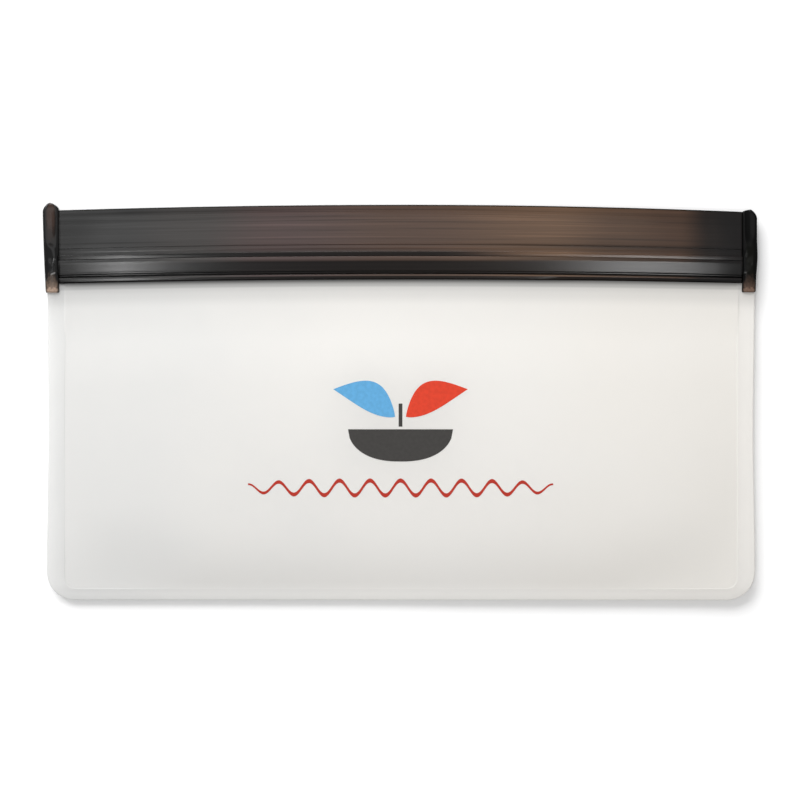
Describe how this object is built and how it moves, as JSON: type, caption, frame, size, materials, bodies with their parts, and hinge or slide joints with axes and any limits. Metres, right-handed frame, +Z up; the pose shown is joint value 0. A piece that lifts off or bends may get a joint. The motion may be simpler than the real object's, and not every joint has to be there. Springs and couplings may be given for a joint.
{
  "type": "reusable food storage bag",
  "caption": "Lay-flat frosted food bag with a smoky press-to-close double-track strip, welded sides and bottom, and fused end seals; the mouth opens.",
  "frame": {"origin": "middle of the bag's footprint, on the surface that its back film rests on", "axes": "+X along the closure, +Y from the bottom weld towards the closure, +Z up through the bag's thickness"},
  "size_m": [0.2114, 0.1174, 0.0082],
  "materials": {
    "frosted_film": "frosted milky translucent soft film, fine matt grain",
    "fused_film": "the same film fused smooth along the welds",
    "smoky_strip": "dark smoky brown extruded plastic, satin gloss with fine lengthwise lines",
    "fused_strip": "smoky plastic crushed and melted glossy at the closure's ends"
  },
  "bodies": {
    "back_half": {"back_film": "frosted_film", "left_side_weld": "fused_film", "right_side_weld": "fused_film", "bottom_weld": "fused_film", "back_zip_strip": "smoky_strip", "left_end_seal": "fused_strip", "right_end_seal": "fused_strip"},
    "front_half": {"front_film": "frosted_film", "front_zip_strip": "smoky_strip"}
  },
  "joints": [
    {"name": "mouth_open", "type": "hinge", "parent": "back_half", "child": "front_half", "pos_m": [0, -0.05515, 0.0009], "axis": [1, 0, 0], "range_deg": [0, 30]}
  ]
}
